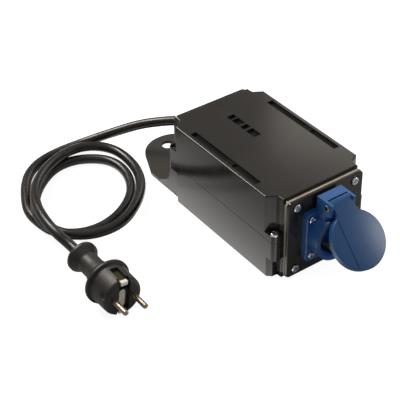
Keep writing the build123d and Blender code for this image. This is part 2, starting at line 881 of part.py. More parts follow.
# Earth strap: one bent strip whose two springy ends are the earth clips in the recess
clip_tip = collar_front - 3.0
with BuildPart() as socket_earth_clips:
    outer = [
        (-clip_tip, clip_radius + 0.6),
        (-recess_floor - 9.5, clip_radius - 1.4),
        (-recess_floor - 4, clip_radius),
        (-insert_back + clip_thickness, clip_radius),
    ]
    inner = [
        (-insert_back, strap_inner),
        (-recess_floor - 4, strap_inner),
        (-recess_floor - 9.5, strap_inner - 1.4),
        (-clip_tip, strap_inner + 0.5),
    ]
    upper = [(y, socket_height + z) for y, z in outer + inner]
    lower = [(y, socket_height - z) for y, z in outer + inner]
    with BuildSketch(Plane.YZ.offset(-clip_width / 2)):
        with BuildLine():
            Polyline(*upper[:4], *reversed(lower[:4]), *reversed(lower[4:]), *upper[4:], close=True)
        make_face()
    extrude(amount=clip_width)
save(socket_earth_clips.part, "socket_earth_clips")

# Lid, drawn on a plane through the hinge axis that is tilted to the open rest position
lid_plane = Plane(
    origin=(0, -hinge_y, hinge_z),
    x_dir=(1, 0, 0),
    z_dir=(0, -cos(radians(lid_open_angle)), sin(radians(lid_open_angle))),
)
lid_face = lid_rim_depth
knuckle_plane = Plane(origin=(-knuckle_half_width, -hinge_y, hinge_z), x_dir=lid_plane.z_dir, z_dir=(1, 0, 0))
with BuildPart() as socket_lid:
    with BuildSketch(lid_plane):
        with Locations((0, -lid_reach)):
            Circle(lid_radius)
    extrude(amount=lid_face)
    with BuildSketch(lid_plane.offset(lid_face - lid_thickness)):
        wide_top = knuckle_radius + hinge_pin_radius + 1.1
        with BuildLine():
            Polyline(
                (-tab_half_width, -lid_reach + lid_radius / 2),
                (-tab_half_width, -wide_top),
                (-knuckle_half_width, -wide_top),
                (-knuckle_half_width, 0),
                (knuckle_half_width, 0),
                (knuckle_half_width, -wide_top),
                (tab_half_width, -wide_top),
                (tab_half_width, -lid_reach + lid_radius / 2),
                close=True,
            )
        make_face()
    extrude(amount=lid_thickness)
    rim_edge = socket_lid.faces().sort_by(Axis((0, 0, 0), lid_plane.z_dir))[-1].outer_wire()
    fillet([e for e in rim_edge.edges() if e.geom_type == GeomType.CIRCLE], lid_face_round)
    with BuildSketch(knuckle_plane):
        Circle(knuckle_radius)
    extrude(amount=2 * knuckle_half_width)
    with BuildSketch(lid_plane):
        with Locations((0, -lid_reach)):
            Circle(lid_radius - lid_rim_wall)
    extrude(amount=lid_face - lid_thickness, mode=Mode.SUBTRACT)
    with BuildSketch(knuckle_plane):
        Circle(hinge_pin_radius + hinge_running_gap)
    extrude(amount=2 * knuckle_half_width, mode=Mode.SUBTRACT)
    with Locations((0, -hinge_slot_front, hinge_slot_bottom)):
        Box(
            2 * knuckle_half_width,
            knuckle_radius,
            knuckle_radius,
            align=(Align.CENTER, Align.MIN, Align.MIN),
            mode=Mode.SUBTRACT,
        )
    with BuildSketch(lid_plane.offset(lid_face)):
        with Locations((lid_line_x, -lid_reach)):
            Rectangle(lid_line_width, 2 * sqrt(lid_radius**2 - lid_line_x**2) - 2)
    extrude(amount=-lid_line_depth, mode=Mode.SUBTRACT)
save(socket_lid.part, "socket_lid")

with BuildPart() as lid_seal:
    seal_radius = lid_radius - lid_rim_wall - seal_gap
    with BuildSketch(lid_plane.offset(lid_face - lid_thickness - seal_thickness)):
        with Locations((0, -lid_reach)):
            Circle(seal_radius)
            Circle(seal_radius - seal_width, mode=Mode.SUBTRACT)
    extrude(amount=seal_thickness)
save(lid_seal.part, "lid_seal")

with BuildPart() as lid_hinge_pin:
    with BuildSketch(side_plane):
        with Locations((-hinge_y, hinge_z)):
            Circle(hinge_pin_radius)
    extrude(amount=2 * cheek_outer)
    for plane_x, amount in ((0, -hinge_pin_head), (2 * cheek_outer, hinge_pin_head)):
        with BuildSketch(side_plane.offset(plane_x)):
            with Locations((-hinge_y, hinge_z)):
                Circle(hinge_pin_head_radius)
        extrude(amount=amount)
    head_edges = lid_hinge_pin.edges().filter_by(GeomType.CIRCLE).group_by(Axis.X)
    fillet(head_edges[0] + head_edges[-1], hinge_pin_head_round)
    with BuildSketch(side_plane.offset(-hinge_pin_head)):
        with Locations((-hinge_y, hinge_z)):
            Circle(hinge_pin_bore)
    extrude(amount=2 * (cheek_outer + hinge_pin_head), mode=Mode.SUBTRACT)
save(lid_hinge_pin.part, "lid_hinge_pin")


# Cable gland
def gland_disc(start, depth, radius, mode=Mode.ADD):
    """A round step of the gland, from y = start over the given depth."""
    seat = Plane(origin=(0, start, gland_height), x_dir=(-1, 0, 0), z_dir=(0, 1, 0))
    with Locations(seat):
        Cylinder(radius, depth, align=(Align.CENTER, Align.CENTER, Align.MIN), mode=mode)


gland_back = rear_panel_back - gland_inside
stub_end = rear_panel_face + gland_hex_depth + gland_stub_depth
cord_hole = cord_radius + 0.3
with BuildPart() as gland_body:
    gland_disc(gland_back, rear_panel_face - gland_back, thread_radius)
    with BuildSketch(rear_plane(rear_panel_face)):
        with Locations((0, gland_height)):
            RegularPolygon(gland_hex / 2, 6, major_radius=False)
    extrude(amount=gland_hex_depth)
    gland_disc(rear_panel_face + gland_hex_depth, gland_stub_depth, gland_stub_radius)
    gland_disc(gland_back, stub_end - gland_back, cord_hole, Mode.SUBTRACT)
    gland_disc(stub_end - gland_seal_depth, gland_seal_depth, gland_bore, Mode.SUBTRACT)
save(gland_body.part, "gland_body")

with BuildPart() as gland_locknut:
    with BuildSketch(rear_plane(rear_panel_back - locknut_depth)):
        with Locations((0, gland_height)):
            RegularPolygon(locknut_hex / 2, 6, major_radius=False)
            Circle(thread_radius + screw_clearance, mode=Mode.SUBTRACT)
    extrude(amount=locknut_depth)
save(gland_locknut.part, "gland_locknut")

with BuildPart() as gland_seal:
    gland_disc(stub_end - gland_seal_depth, gland_seal_depth, gland_bore - screw_clearance)
    gland_disc(stub_end - gland_seal_depth, gland_seal_depth, cord_radius + screw_clearance, Mode.SUBTRACT)
save(gland_seal.part, "gland_seal")

nut_start = rear_panel_face + gland_hex_depth + nut_gap
gland_exit = nut_start + nut_depth
nut_plane = Plane(origin=(0, 0, gland_height), x_dir=(0, 1, 0), z_dir=(-1, 0, 0))
with BuildPart() as gland_nut:
    with BuildSketch(nut_plane):
        with BuildLine():
            dome = Spline(
                (nut_start + nut_depth * 0.55, nut_radius),
                (nut_start + nut_depth * 0.85, nut_radius - 2.4),
                (gland_exit, nut_tip_radius),
                tangents=[(1, 0), (0.6, -1)],
            )
            Polyline(
                dome @ 0,
                (nut_start, nut_radius),
                (nut_start, gland_stub_radius + screw_clearance),
                (stub_end + nut_gap, gland_stub_radius + screw_clearance),
                (stub_end + nut_gap, cord_hole),
                (gland_exit, cord_hole),
                dome @ 1,
            )
        make_face()
    revolve(axis=Axis((0, 0, gland_height), (0, 1, 0)))
    with BuildSketch(rear_plane(nut_start)):
        with Locations((0, gland_height)):
            with PolarLocations(nut_radius + 0.6, 24):
                Circle(1.0)
    extrude(amount=nut_depth * 0.5, mode=Mode.SUBTRACT)
save(gland_nut.part, "gland_nut")


# Cord
def unit(vector):
    """The same direction with length one."""
    return vector * (1 / vector.length)


def bend_radii(points):
    """Largest tidy arc at each corner of a route: 0.45 of the shorter run over tan of half the turn."""
    radii = []
    for before, here, after in zip(points, points[1:], points[2:]):
        first = here - before
        second = after - here
        turn = radians(first.get_angle(second))
        radii.append(0.45 * min(first.length, second.length) / tan(turn / 2))
    return radii


def cord_tube(name, points):
    """One free stretch of cord: straight runs joined by tangent arcs, swept with the cord's section."""
    route = [Vector(*point) for point in points]
    radii = bend_radii(route)
    with BuildPart() as tube:
        with BuildLine() as path:
            FilletPolyline(*route, radius=radii)
        with BuildSketch(Plane(origin=path.wire() @ 0, z_dir=path.wire() % 0)):
            Circle(cord_radius)
        sweep()
    length = path.wire().length
    share = tube.part.volume / (pi * cord_radius**2 * length)
    print(f"{name}: length {length:.1f}, volume share {share:.4f}, radii", [round(r, 1) for r in radii])
    save(tube.part, name)
    return length


def coil_point(quarter):
    """Centre of the coiled cord after a number of quarter turns: an ellipse that grows and turns."""
    share = quarter / (len(coil_layers) - 1)
    turned = radians(coil_turned[0] + (coil_turned[1] - coil_turned[0]) * share)
    long = coil_long[0] + (coil_long[1] - coil_long[0]) * share
    short = coil_short[0] + (coil_short[1] - coil_short[0]) * share
    x = coil_centre[0][0] + (coil_centre[1][0] - coil_centre[0][0]) * share
    y = coil_centre[0][1] + (coil_centre[1][1] - coil_centre[0][1]) * share
    around = radians(coil_start_angle + 90 * quarter) - turned
    along = long * cos(around)
    across = short * sin(around)
    return Vector(x + along * cos(turned) - across * sin(turned), y + along * sin(turned) + across * cos(turned))


def coil_stations():
    """Point and direction of the cord at each quarter turn, climbing layers where turns cross."""
    stations = []
    last = len(coil_layers) - 1
    for quarter, layer in enumerate(coil_layers):
        step = 0.001
        flat = (coil_point(quarter + step) - coil_point(quarter - step)) * (0.5 / step)
        before = layer - coil_layers[max(quarter - 1, 0)]
        after = coil_layers[min(quarter + 1, last)] - layer
        climb = max(0, min(before, after)) * coil_layer_height
        point = coil_point(quarter) + Vector(0, 0, cord_low + layer * coil_layer_height)
        stations.append((point, unit(flat + Vector(0, 0, climb))))
    return stations


def biarc_joint(start, start_way, end, end_way):
    """Meeting point of two arcs that join two points with given directions."""
    span = end - start
    both = start_way + end_way
    bend = 2 * (1 - start_way.dot(end_way))
    reach = span.dot(both)
    if bend < 1e-9:
        share = span.dot(span) / (2 * reach)
    else:
        share = (sqrt(reach**2 + bend * span.dot(span)) - reach) / bend
    return (start + start_way * share + end - end_way * share) * 0.5


def least_gap(points, near):
    """Least distance between points that lie further apart than near along the cord, less a diameter."""
    travelled = [0.0]
    for a, b in zip(points, points[1:]):
        travelled.append(travelled[-1] + (b - a).length)
    best = 1e9
    for i, a in enumerate(points):
        for j in range(i + 1, len(points)):
            if travelled[j] - travelled[i] > near:
                best = min(best, (points[j] - a).length)
    return best - cord_diameter


stations = coil_stations()
coil_in = stations[0][0] - stations[0][1] * cord_diameter
coil_out = stations[-1][0] + stations[-1][1] * cord_diameter
with BuildPart() as cord_coil:
    with BuildLine() as coil_path:
        Line(coil_in, stations[0][0])
        for (start, start_way), (end, end_way) in zip(stations, stations[1:]):
            joint = biarc_joint(start, start_way, end, end_way)
            arc = TangentArc(start, joint, tangent=start_way)
            TangentArc(joint, end, tangent=arc % 1)
        Line(stations[-1][0], coil_out)
    with BuildSketch(Plane(origin=coil_in, z_dir=stations[0][1])):
        Circle(cord_radius)
    sweep()
coil_wire = coil_path.wire()
coil_samples = [coil_wire @ (k / 360) for k in range(361)]
coil_share = cord_coil.part.volume / (pi * cord_radius**2 * coil_wire.length)
print(f"cord_coil: length {coil_wire.length:.1f}, volume share {coil_share:.4f}")
print(f"cord_coil: least gap to itself {least_gap(coil_samples, 8 * cord_diameter):.2f}")
save(cord_coil.part, "cord_coil")

lead_start = Vector(0, gland_exit, gland_height)
lead_points = [lead_start, lead_start + Vector(0, lead_exit, 0)]
lead_points += [Vector(*point) for point in lead_route]
lead_points += [Vector(x, y, cord_low) for x, y in lead_floor]
lead_points += [coil_in - stations[0][1] * lead_last, coil_in]
lead_length = cord_tube("cord_lead", lead_points)

plug_back = Vector(plug_x, plug_face_y + plug_length, plug_z)
tail_points = [coil_out, coil_out + stations[-1][1] * tail_first, plug_back + Vector(0, tail_last, 0), plug_back]
tail_length = cord_tube("cord_tail", tail_points)
print(f"free cord length {lead_length + coil_wire.length + tail_length:.1f}")

with BuildPart() as cord_root:
    gland_disc(cord_inside, gland_exit - cord_inside, cord_radius)
save(cord_root.part, "cord_root")


# Plug: a revolved rubber body, with its pins along -Y
def plug_at(distance):
    """Upright plane across the plug, at a distance behind the plane where the pins start."""
    return Plane(origin=(plug_x, plug_face_y + distance, plug_z), x_dir=plug_right, z_dir=(0, -1, 0))


def plug_profile():
    """Half section of the plug body, from its nose to the cable entry; each corner has its own round."""
    corners = [
        (-plug_nose, plug_nose_radius - 0.8, 4.0),
        (plug_collar_at - 2.4, plug_nose_radius, 0.8),
        (plug_collar_at - 2.0, plug_collar_radius, 1.2),
        (plug_collar_at + 1.2, plug_collar_radius, 1.2),
        (plug_collar_at + 3.2, plug_collar_radius - 5, 2),
        (plug_collar_at + 10, plug_neck_radius + 2, 6),
        (plug_collar_at + 20, plug_neck_radius, 12),
        (plug_flange_at - 9, plug_neck_radius, 6),
        (plug_flange_at - 1.5, plug_flange_radius, 1.2),
        (plug_flange_at + 1.5, plug_flange_radius, 1.2),
        (plug_length, plug_end_radius, 1.5),
    ]
    with BuildSketch() as profile:
        with BuildLine():
            Polyline((-plug_nose, 0), *[(s, r) for s, r, _ in corners], (plug_length, 0), close=True)
        make_face()
        for s, r, round_radius in corners:
            fillet(profile.vertices().sort_by_distance((s, r, 0))[0], round_radius)
    return profile.sketch


plug_side = Plane(origin=(plug_x, plug_face_y, plug_z), x_dir=(0, 1, 0), z_dir=plug_right)
plug_axis = Axis((plug_x, plug_face_y, plug_z), (0, 1, 0))
pin_points = [(-pin_spacing / 2, 0), (pin_spacing / 2, 0)]
core_front = plug_channel_depth - plug_nose
with BuildPart() as plug_body:
    with BuildSketch(plug_side):
        add(plug_profile())
    revolve(axis=plug_axis)
    with BuildSketch(plug_at(-plug_nose)):
        Rectangle(plug_channel, 3 * plug_collar_radius)
    extrude(amount=-plug_channel_depth, mode=Mode.SUBTRACT)
    with BuildSketch(plug_at(core_front)):
        Circle(core_block_radius + plug_fit)
    extrude(amount=-(core_block_depth + plug_fit), mode=Mode.SUBTRACT)
    with BuildSketch(plug_at(-plug_nose)):
        with Locations(*pin_points):
            Circle(pin_shank_radius + plug_fit)
    extrude(amount=-(plug_nose + core_front), mode=Mode.SUBTRACT)
    with BuildSketch(plug_at(0)):
        for side in (-1, 1):
            with Locations((0, side * (plug_clip_radius + plug_collar_radius) / 2)):
                Rectangle(
                    plug_clip_width + plug_groove_gap,
                    plug_collar_radius - plug_clip_radius + 2 * clip_thickness + plug_groove_gap,
                )
    extrude(amount=-plug_clip_length, mode=Mode.SUBTRACT)
    dimple_turn = radians(plug_dimple_turn)
    dimple_out = plug_nose_radius + plug_dimple - plug_dimple_depth
    with Locations(
        (
            plug_x + dimple_out * cos(dimple_turn),
            plug_face_y + plug_dimple_at,
            plug_z + dimple_out * sin(dimple_turn),
        )
    ):
        Sphere(plug_dimple, mode=Mode.SUBTRACT)
save(plug_body.part, "plug_body")

with BuildPart() as plug_core:
    with BuildSketch(plug_at(core_front)):
        Circle(core_block_radius)
    extrude(amount=-core_block_depth)
    with BuildSketch(plug_at(core_front)):
        with Locations((0, -plug_plate_drop)):
            Rectangle(plug_channel - 2 * plug_fit, plug_plate_height)
    extrude(amount=core_front - plug_plate_at - clip_thickness)
    with BuildSketch(plug_at(core_front)):
        with Locations(*pin_points):
            Circle(pin_shank_radius + hinge_pin_fit)
    extrude(amount=pin_core_gap - core_block_depth, mode=Mode.SUBTRACT)
save(plug_core.part, "plug_core")

with BuildPart() as plug_pins:
    with BuildSketch(plug_at(-plug_nose - pin_shoulder)):
        with Locations(*pin_points):
            Circle(pin_radius)
    extrude(amount=pin_length - plug_nose - pin_shoulder)
    fillet(plug_pins.edges().group_by(Axis.Y)[0], pin_tip_round)
    with BuildSketch(plug_at(-plug_nose - pin_shoulder)):
        with Locations(*pin_points):
            Circle(pin_shank_radius)
    extrude(amount=-(plug_nose + pin_shoulder + core_front + core_block_depth - pin_core_gap))
save(plug_pins.part, "plug_pins")

with BuildPart() as plug_earth_clips:
    for side in (-1, 1):
        with BuildSketch(plug_side.offset(-plug_clip_width / 2)):
            with BuildLine():
                low = plug_clip_radius - clip_thickness
                outline = [
                    (plug_clip_length - 0.3, plug_clip_radius),
                    (0.2, plug_clip_radius),
                    (0.2, plug_clip_foot),
                    (0.2 + clip_thickness, plug_clip_foot),
                    (0.2 + clip_thickness, low),
                    (plug_clip_length - 0.3, low),
                ]
                Polyline(*[(y, side * z) for y, z in outline], close=True)
            make_face()
        extrude(amount=plug_clip_width)
save(plug_earth_clips.part, "plug_earth_clips")

with BuildPart() as plug_earth_contact:
    with BuildSketch(plug_at(plug_plate_at + clip_thickness)):
        with Locations((0, -plug_plate_drop)):
            SlotOverall(plug_plate_height, plug_plate_width, rotation=90)
        dot_height = plug_plate_height / 2 - plug_plate_drop - plug_plate_dot_drop
        with Locations(*[(x, dot_height) for x in plug_plate_dots]):
            Circle(plug_plate_hole, mode=Mode.SUBTRACT)
    extrude(amount=clip_thickness)
save(plug_earth_contact.part, "plug_earth_contact")

# Circuit board
with BuildPart() as circuit_board:
    with BuildSketch(Plane.XY.offset(board_bottom)):
        Rectangle(board_width, board_length)
        with Locations(*four_corners(standoff_x, standoff_y)):
            Circle(board_screw_radius + 0.2, mode=Mode.SUBTRACT)
    extrude(amount=board_thickness)
save(circuit_board.part, "circuit_board")
board_places = [Plane(origin=(x, y, board_top)) for x, y in four_corners(standoff_x, standoff_y)]
save(
    pan_screws(board_places, board_screw_radius, board_screw_bite, board_screw_head, 2.0, (0, 0, 1)),
    "board_screws",
)


def on_board(x, y, size):
    """A component's block standing on the board."""
    with Locations((x, y, board_top)):
        Box(*size, align=(Align.CENTER, Align.CENTER, Align.MIN))


with BuildPart() as bypass_relay:
    on_board(-side_row_x, relay_y, relay_size)
    fillet(bypass_relay.edges().filter_by(Axis.Z), case_round)
save(bypass_relay.part, "bypass_relay")

with BuildPart() as inrush_resistor:
    on_board(side_row_x, 0, resistor_size)
    chamfer(inrush_resistor.edges().filter_by(Axis.Y), resistor_edge)
    for side in (-1, 1):
        lead_z = board_top + resistor_size[2] / 2
        end_y = side * resistor_size[1] / 2
        with BuildSketch(Plane(origin=(side_row_x, end_y, lead_z), x_dir=(1, 0, 0), z_dir=(0, side, 0))):
            Circle(resistor_lead_radius)
        extrude(amount=resistor_lead_reach)
        leg_y = end_y + side * (resistor_lead_reach - resistor_lead_radius)
        with Locations((side_row_x, leg_y, board_top)):
            Cylinder(resistor_lead_radius, resistor_size[2] / 2, align=(Align.CENTER, Align.CENTER, Align.MIN))
save(inrush_resistor.part, "inrush_resistor")

with BuildPart() as suppression_capacitor:
    on_board(-side_row_x, capacitor_y, capacitor_size)
    fillet(suppression_capacitor.edges().group_by(Axis.Z)[-1], case_round)
save(suppression_capacitor.part, "suppression_capacitor")

with BuildPart() as timing_capacitor:
    with Locations((small_parts_x, small_parts_y, board_top)):
        Cylinder(
            timing_capacitor_radius, timing_capacitor_height, align=(Align.CENTER, Align.CENTER, Align.MIN)
        )
    fillet(timing_capacitor.edges().group_by(Axis.Z)[-1], case_round)
save(timing_capacitor.part, "timing_capacitor")

with BuildPart() as varistor:
    with Locations((-small_parts_x, small_parts_y, board_top + varistor_radius)):
        Cylinder(varistor_radius, varistor_thickness, rotation=(90, 0, 0))
    on_board(-small_parts_x, small_parts_y, (varistor_foot[0], varistor_thickness, varistor_foot[1]))
save(varistor.part, "varistor")

with BuildPart() as fuse_holder:
    on_board(fuse_x, fuse_y, (fuse_base_width, fuse_length + fuse_margin, fuse_base_height))
    for side in (-1, 1):
        with Locations((fuse_x, fuse_y + side * (fuse_length - fuse_cap) / 2, board_top + fuse_base_height)):
            Box(
                2 * (fuse_radius + fuse_post_margin),
                fuse_post,
                fuse_height + fuse_post_rise - fuse_base_height,
                align=(Align.CENTER, Align.CENTER, Align.MIN),
            )
    with BuildSketch(Plane((fuse_x, fuse_y, board_top + fuse_height), (1, 0, 0), (0, 1, 0))):
        Circle(fuse_radius + screw_clearance)
    extrude(amount=fuse_length, both=True, mode=Mode.SUBTRACT)
save(fuse_holder.part, "fuse_holder")

with BuildPart() as fuse:
    with BuildSketch(Plane((fuse_x, fuse_y - fuse_length / 2, board_top + fuse_height), (1, 0, 0), (0, 1, 0))):
        Circle(fuse_radius)
    extrude(amount=fuse_length)
save(fuse.part, "fuse")


def terminal(name, end):
    """A three-way screw terminal at one end of the board (-1 front, 1 rear), wire holes outwards."""
    mouth = board_top + terminal_wire_height
    with BuildPart() as block:
        on_board(0, end * terminal_y, (terminal_width, terminal_length, terminal_height))
        with BuildSketch(Plane((0, end * (terminal_y + terminal_length / 2), mouth), (1, 0, 0), (0, end, 0))):
            with GridLocations(terminal_pitch, 0, 3, 1):
                Circle(terminal_hole)
        extrude(amount=-terminal_depth, mode=Mode.SUBTRACT)
        with BuildSketch(Plane(origin=(0, end * terminal_y, board_top + terminal_height))):
            with GridLocations(terminal_pitch, 0, 3, 1):
                Circle(terminal_screw_hole)
        extrude(amount=-terminal_depth, mode=Mode.SUBTRACT)
    save(block.part, name)


terminal("input_terminal", 1)
terminal("output_terminal", -1)


def core_wire(points):
    """One insulated core along a bent route."""
    with BuildPart() as wire:
        with BuildLine() as path:
            FilletPolyline(*points, radius=core_radius * 3)
        with BuildSketch(Plane(origin=path.wire() @ 0, z_dir=path.wire() % 0)):
            Circle(core_radius)
        sweep()
    return wire.part


wire_z = board_top + terminal_wire_height
wire_stop = terminal_y + terminal_length / 2 - terminal_depth + 0.5
wire_out = terminal_y + terminal_length / 2 + 5
contact_back = insert_back - contact_tail
wire_rows = [("neutral_wires", -1), ("earth_wires", 0), ("live_wires", 1)]
for name, row in wire_rows:
    board_x = row * terminal_pitch
    socket_x = row * pin_spacing / 2
    socket_end = contact_back if row else insert_back - clip_thickness
    cord_side = [
        (row * core_spacing, cord_inside, gland_height),
        (row * core_spacing, cord_inside - 7, gland_height),
        (board_x, wire_out, wire_z),
        (board_x, wire_stop, wire_z),
    ]
    outlet_side = [
        (board_x, -wire_stop, wire_z),
        (board_x, -wire_out, wire_z),
        (socket_x, -socket_end + 7, socket_height),
        (socket_x, -socket_end, socket_height),
    ]
    with BuildPart() as wires:
        add(core_wire(cord_side))
        add(core_wire(outlet_side))
    save(wires.part, name)
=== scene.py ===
# %% [markdown]
# # An inrush current limiter, dressed for its picture
# The frame is already built: every hard piece of the box, its outlet, its bracket and its plug stands
# here at its real size. This script gives each of them its finish, lays the rubber cord in its two
# loose turns, puts a tapered sleeve on it at the gland, and sets up a plain photo table round it all.

# %% Load the frame
import json
import bpy
import numpy as np
from mathutils import Matrix, Vector


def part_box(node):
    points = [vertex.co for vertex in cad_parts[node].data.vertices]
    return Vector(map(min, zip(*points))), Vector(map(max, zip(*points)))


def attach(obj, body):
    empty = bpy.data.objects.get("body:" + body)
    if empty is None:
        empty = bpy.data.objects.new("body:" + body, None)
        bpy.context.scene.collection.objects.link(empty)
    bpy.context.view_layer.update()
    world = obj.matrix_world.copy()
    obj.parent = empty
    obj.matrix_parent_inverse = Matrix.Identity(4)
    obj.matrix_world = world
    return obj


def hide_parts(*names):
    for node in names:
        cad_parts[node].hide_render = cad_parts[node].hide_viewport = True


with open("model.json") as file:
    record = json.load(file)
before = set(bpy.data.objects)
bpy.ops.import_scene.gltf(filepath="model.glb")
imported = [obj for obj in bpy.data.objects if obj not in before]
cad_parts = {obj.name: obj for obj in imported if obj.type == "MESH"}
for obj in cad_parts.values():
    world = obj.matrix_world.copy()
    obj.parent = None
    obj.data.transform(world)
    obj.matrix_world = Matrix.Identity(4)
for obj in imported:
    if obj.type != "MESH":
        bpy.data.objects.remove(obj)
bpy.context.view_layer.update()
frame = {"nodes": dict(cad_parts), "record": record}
nodes = frame["nodes"]
MM = 0.001
print("frame holds", len(nodes), "pieces")

# %% [markdown]
# ## Writing shader maths as plain expressions
# A material is a graph of nodes, and wiring it by hand is hard to read. A small class wraps one
# output socket and overloads +, - and *, so that a line such as `1 - mask * 0.3` adds the Math nodes
# itself. Every other node comes from one method, which takes the settings first and then the inputs.

# %% A socket that can be used in an expression
class Wire:
    """One output of a shader node, which adds Math nodes when it is used in a sum."""

    def __init__(self, graph, socket):
        self.graph = graph
        self.socket = socket

    def maths(self, operation, other, swap=False):
        """Adds one Math node; swap puts the other value first."""
        pair = (other, self) if swap else (self, other)
        return self.graph.node("ShaderNodeMath", {"operation": operation}, {0: pair[0], 1: pair[1]})

    def __add__(self, other):
        return self.maths("ADD", other)

    def __sub__(self, other):
        return self.maths("SUBTRACT", other)

    def __rsub__(self, other):
        return self.maths("SUBTRACT", other, swap=True)

    def __mul__(self, other):
        return self.maths("MULTIPLY", other)


class Finish:
    """A material that is being drawn: its node tree and its Principled shader."""

    def __init__(self, name):
        self.material = bpy.data.materials.new(name)
        self.material.use_nodes = True
        self.tree = self.material.node_tree
        self.shader = self.tree.nodes["Principled BSDF"]

    def node(self, kind, settings=None, inputs=None, output=0):
        """Adds a node, sets its settings first and then its inputs, and returns one output."""
        made = self.tree.nodes.new(kind)
        for key, value in (settings or {}).items():
            setattr(made, key, value)
        for key, value in (inputs or {}).items():
            self.feed(made.inputs[key], value)
        return Wire(self, made.outputs[output])

    def feed(self, socket, value):
        """Links a wire to a socket, or writes a constant on it."""
        if isinstance(value, Wire):
            self.tree.links.new(value.socket, socket)
        else:
            socket.default_value = value

    def place(self, scale=(1, 1, 1)):
        """Where on the piece the shader is, in metres, stretched by scale."""
        point = self.node("ShaderNodeTexCoord", output="Object")
        return self.node("ShaderNodeVectorMath", {"operation": "MULTIPLY"}, {0: point, 1: scale})

    def noise(self, size, detail=3.0, rough=0.55, stretch=(1, 1, 1)):
        """Soft blotches about size metres across, from 0 to 1."""
        scale = tuple(value / size for value in stretch)
        inputs = {"Vector": self.place(scale), "Scale": 1.0, "Detail": detail, "Roughness": rough}
        return self.node("ShaderNodeTexNoise", {}, inputs, "Fac")

    def between(self, value, low, high):
        """Stretches the part of value from low to high over 0 to 1, and clips the rest."""
        inputs = {"Value": value, "From Min": low, "From Max": high}
        return self.node("ShaderNodeMapRange", {"clamp": True}, inputs)

    def colour(self, mask, first, second):
        """Mixes two colours by a mask."""
        ends = [value if isinstance(value, Wire) else (*value, 1) for value in (first, second)]
        return self.node("ShaderNodeMix", {"data_type": "RGBA"}, {0: mask, 6: ends[0], 7: ends[1]}, 2)

    def axis(self, letter):
        """One coordinate on the piece, in metres: X, Y or Z."""
        return self.node("ShaderNodeSeparateXYZ", {}, {0: self.place()}, letter)

    def less(self, value, limit):
        """1 where value is under the limit, else 0."""
        return self.node("ShaderNodeMath", {"operation": "LESS_THAN"}, {0: value, 1: limit})

    def size_of(self, value):
        """A number without its sign."""
        return self.node("ShaderNodeMath", {"operation": "ABSOLUTE"}, {0: value})

    def bump(self, height):
        """A height in metres as a bump."""
        inputs = {"Height": height, "Distance": 1.0}
        self.feed(self.shader.inputs["Normal"], self.node("ShaderNodeBump", {}, inputs, "Normal"))

    def set(self, **values):
        """Writes the Principled shader's own sockets; underscores stand for spaces."""
        for key, value in values.items():
            self.feed(self.shader.inputs[key.replace("_", " ")], value)


def srgb(red, green, blue):
    """A colour as it looks on screen, 0 to 255, turned into the linear values that shaders use."""
    screen = np.array([red, green, blue]) / 255
    linear = np.where(screen <= 0.04045, screen / 12.92, ((screen + 0.055) / 1.055) ** 2.4)
    return tuple(float(value) for value in linear)


# %% [markdown]
# ## Black moulded plastic
# The two shells and the end plates are injection-moulded, half glossy, and they mirror the table and
# the cord in a blurred way. Black plastic never looks black: its colour comes from a dark grey-brown
# base plus the reflection, so the base is kept very dark and the roughness does the work. A fine
# orange-peel bump breaks up the reflection, and faint wide blotches vary the gloss as handling does.

# %% Finishes of plastic, rubber, metal and glass
blotch_share = 0.06
fine_share = 0.05
scuff_share = 0.08
scuff_rise = 0.3
dust_share = 0.12
tarnish_share = 0.15
streak_share = 0.08
streak_depth = 0.00002
# Near-black painted shade for the inside of the deep slots in the top.
pocket_painted_shade = srgb(5, 5, 4)


def moulded_plastic(name, base, lighter, rough, peel, peel_size=0.0016, swell=None, shade_box=None):
    """Moulded plastic: base colour with faint blotches, gloss that wanders, an orange-peel bump.

    The swell is a crown, given by its strength and the height of its centre: the bump falls by the
    strength times the squared distance from the centre, in metres. The last argument is a box, given
    by half its width, half its length and its top, inside which the plastic is dull and painted near
    black: painted shade down the deep slots.
    """
    finish = Finish(name)
    blotch = finish.noise(0.03, detail=4.0)
    fine = finish.noise(0.004, detail=3.0)
    marks = finish.noise(0.009, detail=6.0, rough=0.7, stretch=(1.0, 0.25, 1.0))
    scuffs = finish.between(marks, low=0.58, high=0.8)
    colour = finish.colour(blotch, base, lighter)
    even = rough - (blotch_share + fine_share) / 2
    rough = blotch * blotch_share + fine * fine_share + scuffs * scuff_share + even
    if shade_box:
        # Painted shade: inside the box the colour turns near black and the gloss goes.
        half_width, half_length, top = shade_box
        shade_mask = finish.less(finish.size_of(finish.axis("X")), half_width)
        shade_mask = shade_mask * finish.less(finish.size_of(finish.axis("Y")), half_length)
        shade_mask = shade_mask * finish.less(finish.axis("Z"), top)
        colour = finish.colour(shade_mask, colour, pocket_painted_shade)
        rough = rough + shade_mask
    finish.set(Base_Color=colour, Roughness=rough)
    height = (finish.noise(peel_size, detail=2.0) + scuffs * scuff_rise) * peel
    if swell:
        strength, centre_height = swell
        across, rise = finish.axis("X"), finish.axis("Z") - centre_height
        height = height - (across * across + rise * rise) * strength
    finish.bump(height)
    return finish.material


def rubber(name, base, lighter, rough, grain=0.0006, depth=0.00006):
    """Rubber: lighter dusty patches that are a little duller, and a fine grain of the given depth."""
    finish = Finish(name)
    dust = finish.between(finish.noise(0.012, detail=6.0, rough=0.65), low=0.42, high=0.75)
    finish.set(Base_Color=finish.colour(dust, base, lighter), Roughness=dust * dust_share + rough)
    finish.bump(finish.noise(grain, detail=4.0) * depth)
    return finish.material


def plated_metal(name, base, darker, rough, metal=1.0):
    """Plated metal: slightly uneven colour, fine brushed streaks in roughness and bump."""
    finish = Finish(name)
    tarnish = finish.between(finish.noise(0.003, detail=5.0, rough=0.6), low=0.45, high=0.8)
    streak = finish.noise(0.0008, detail=2.0, rough=0.5, stretch=(1.0, 6.0, 1.0))
    finish.set(
        Base_Color=finish.colour(tarnish, base, darker),
        Metallic=metal,
        Roughness=tarnish * tarnish_share + streak * streak_share + rough,
    )
    finish.bump(streak * streak_depth)
    return finish.material


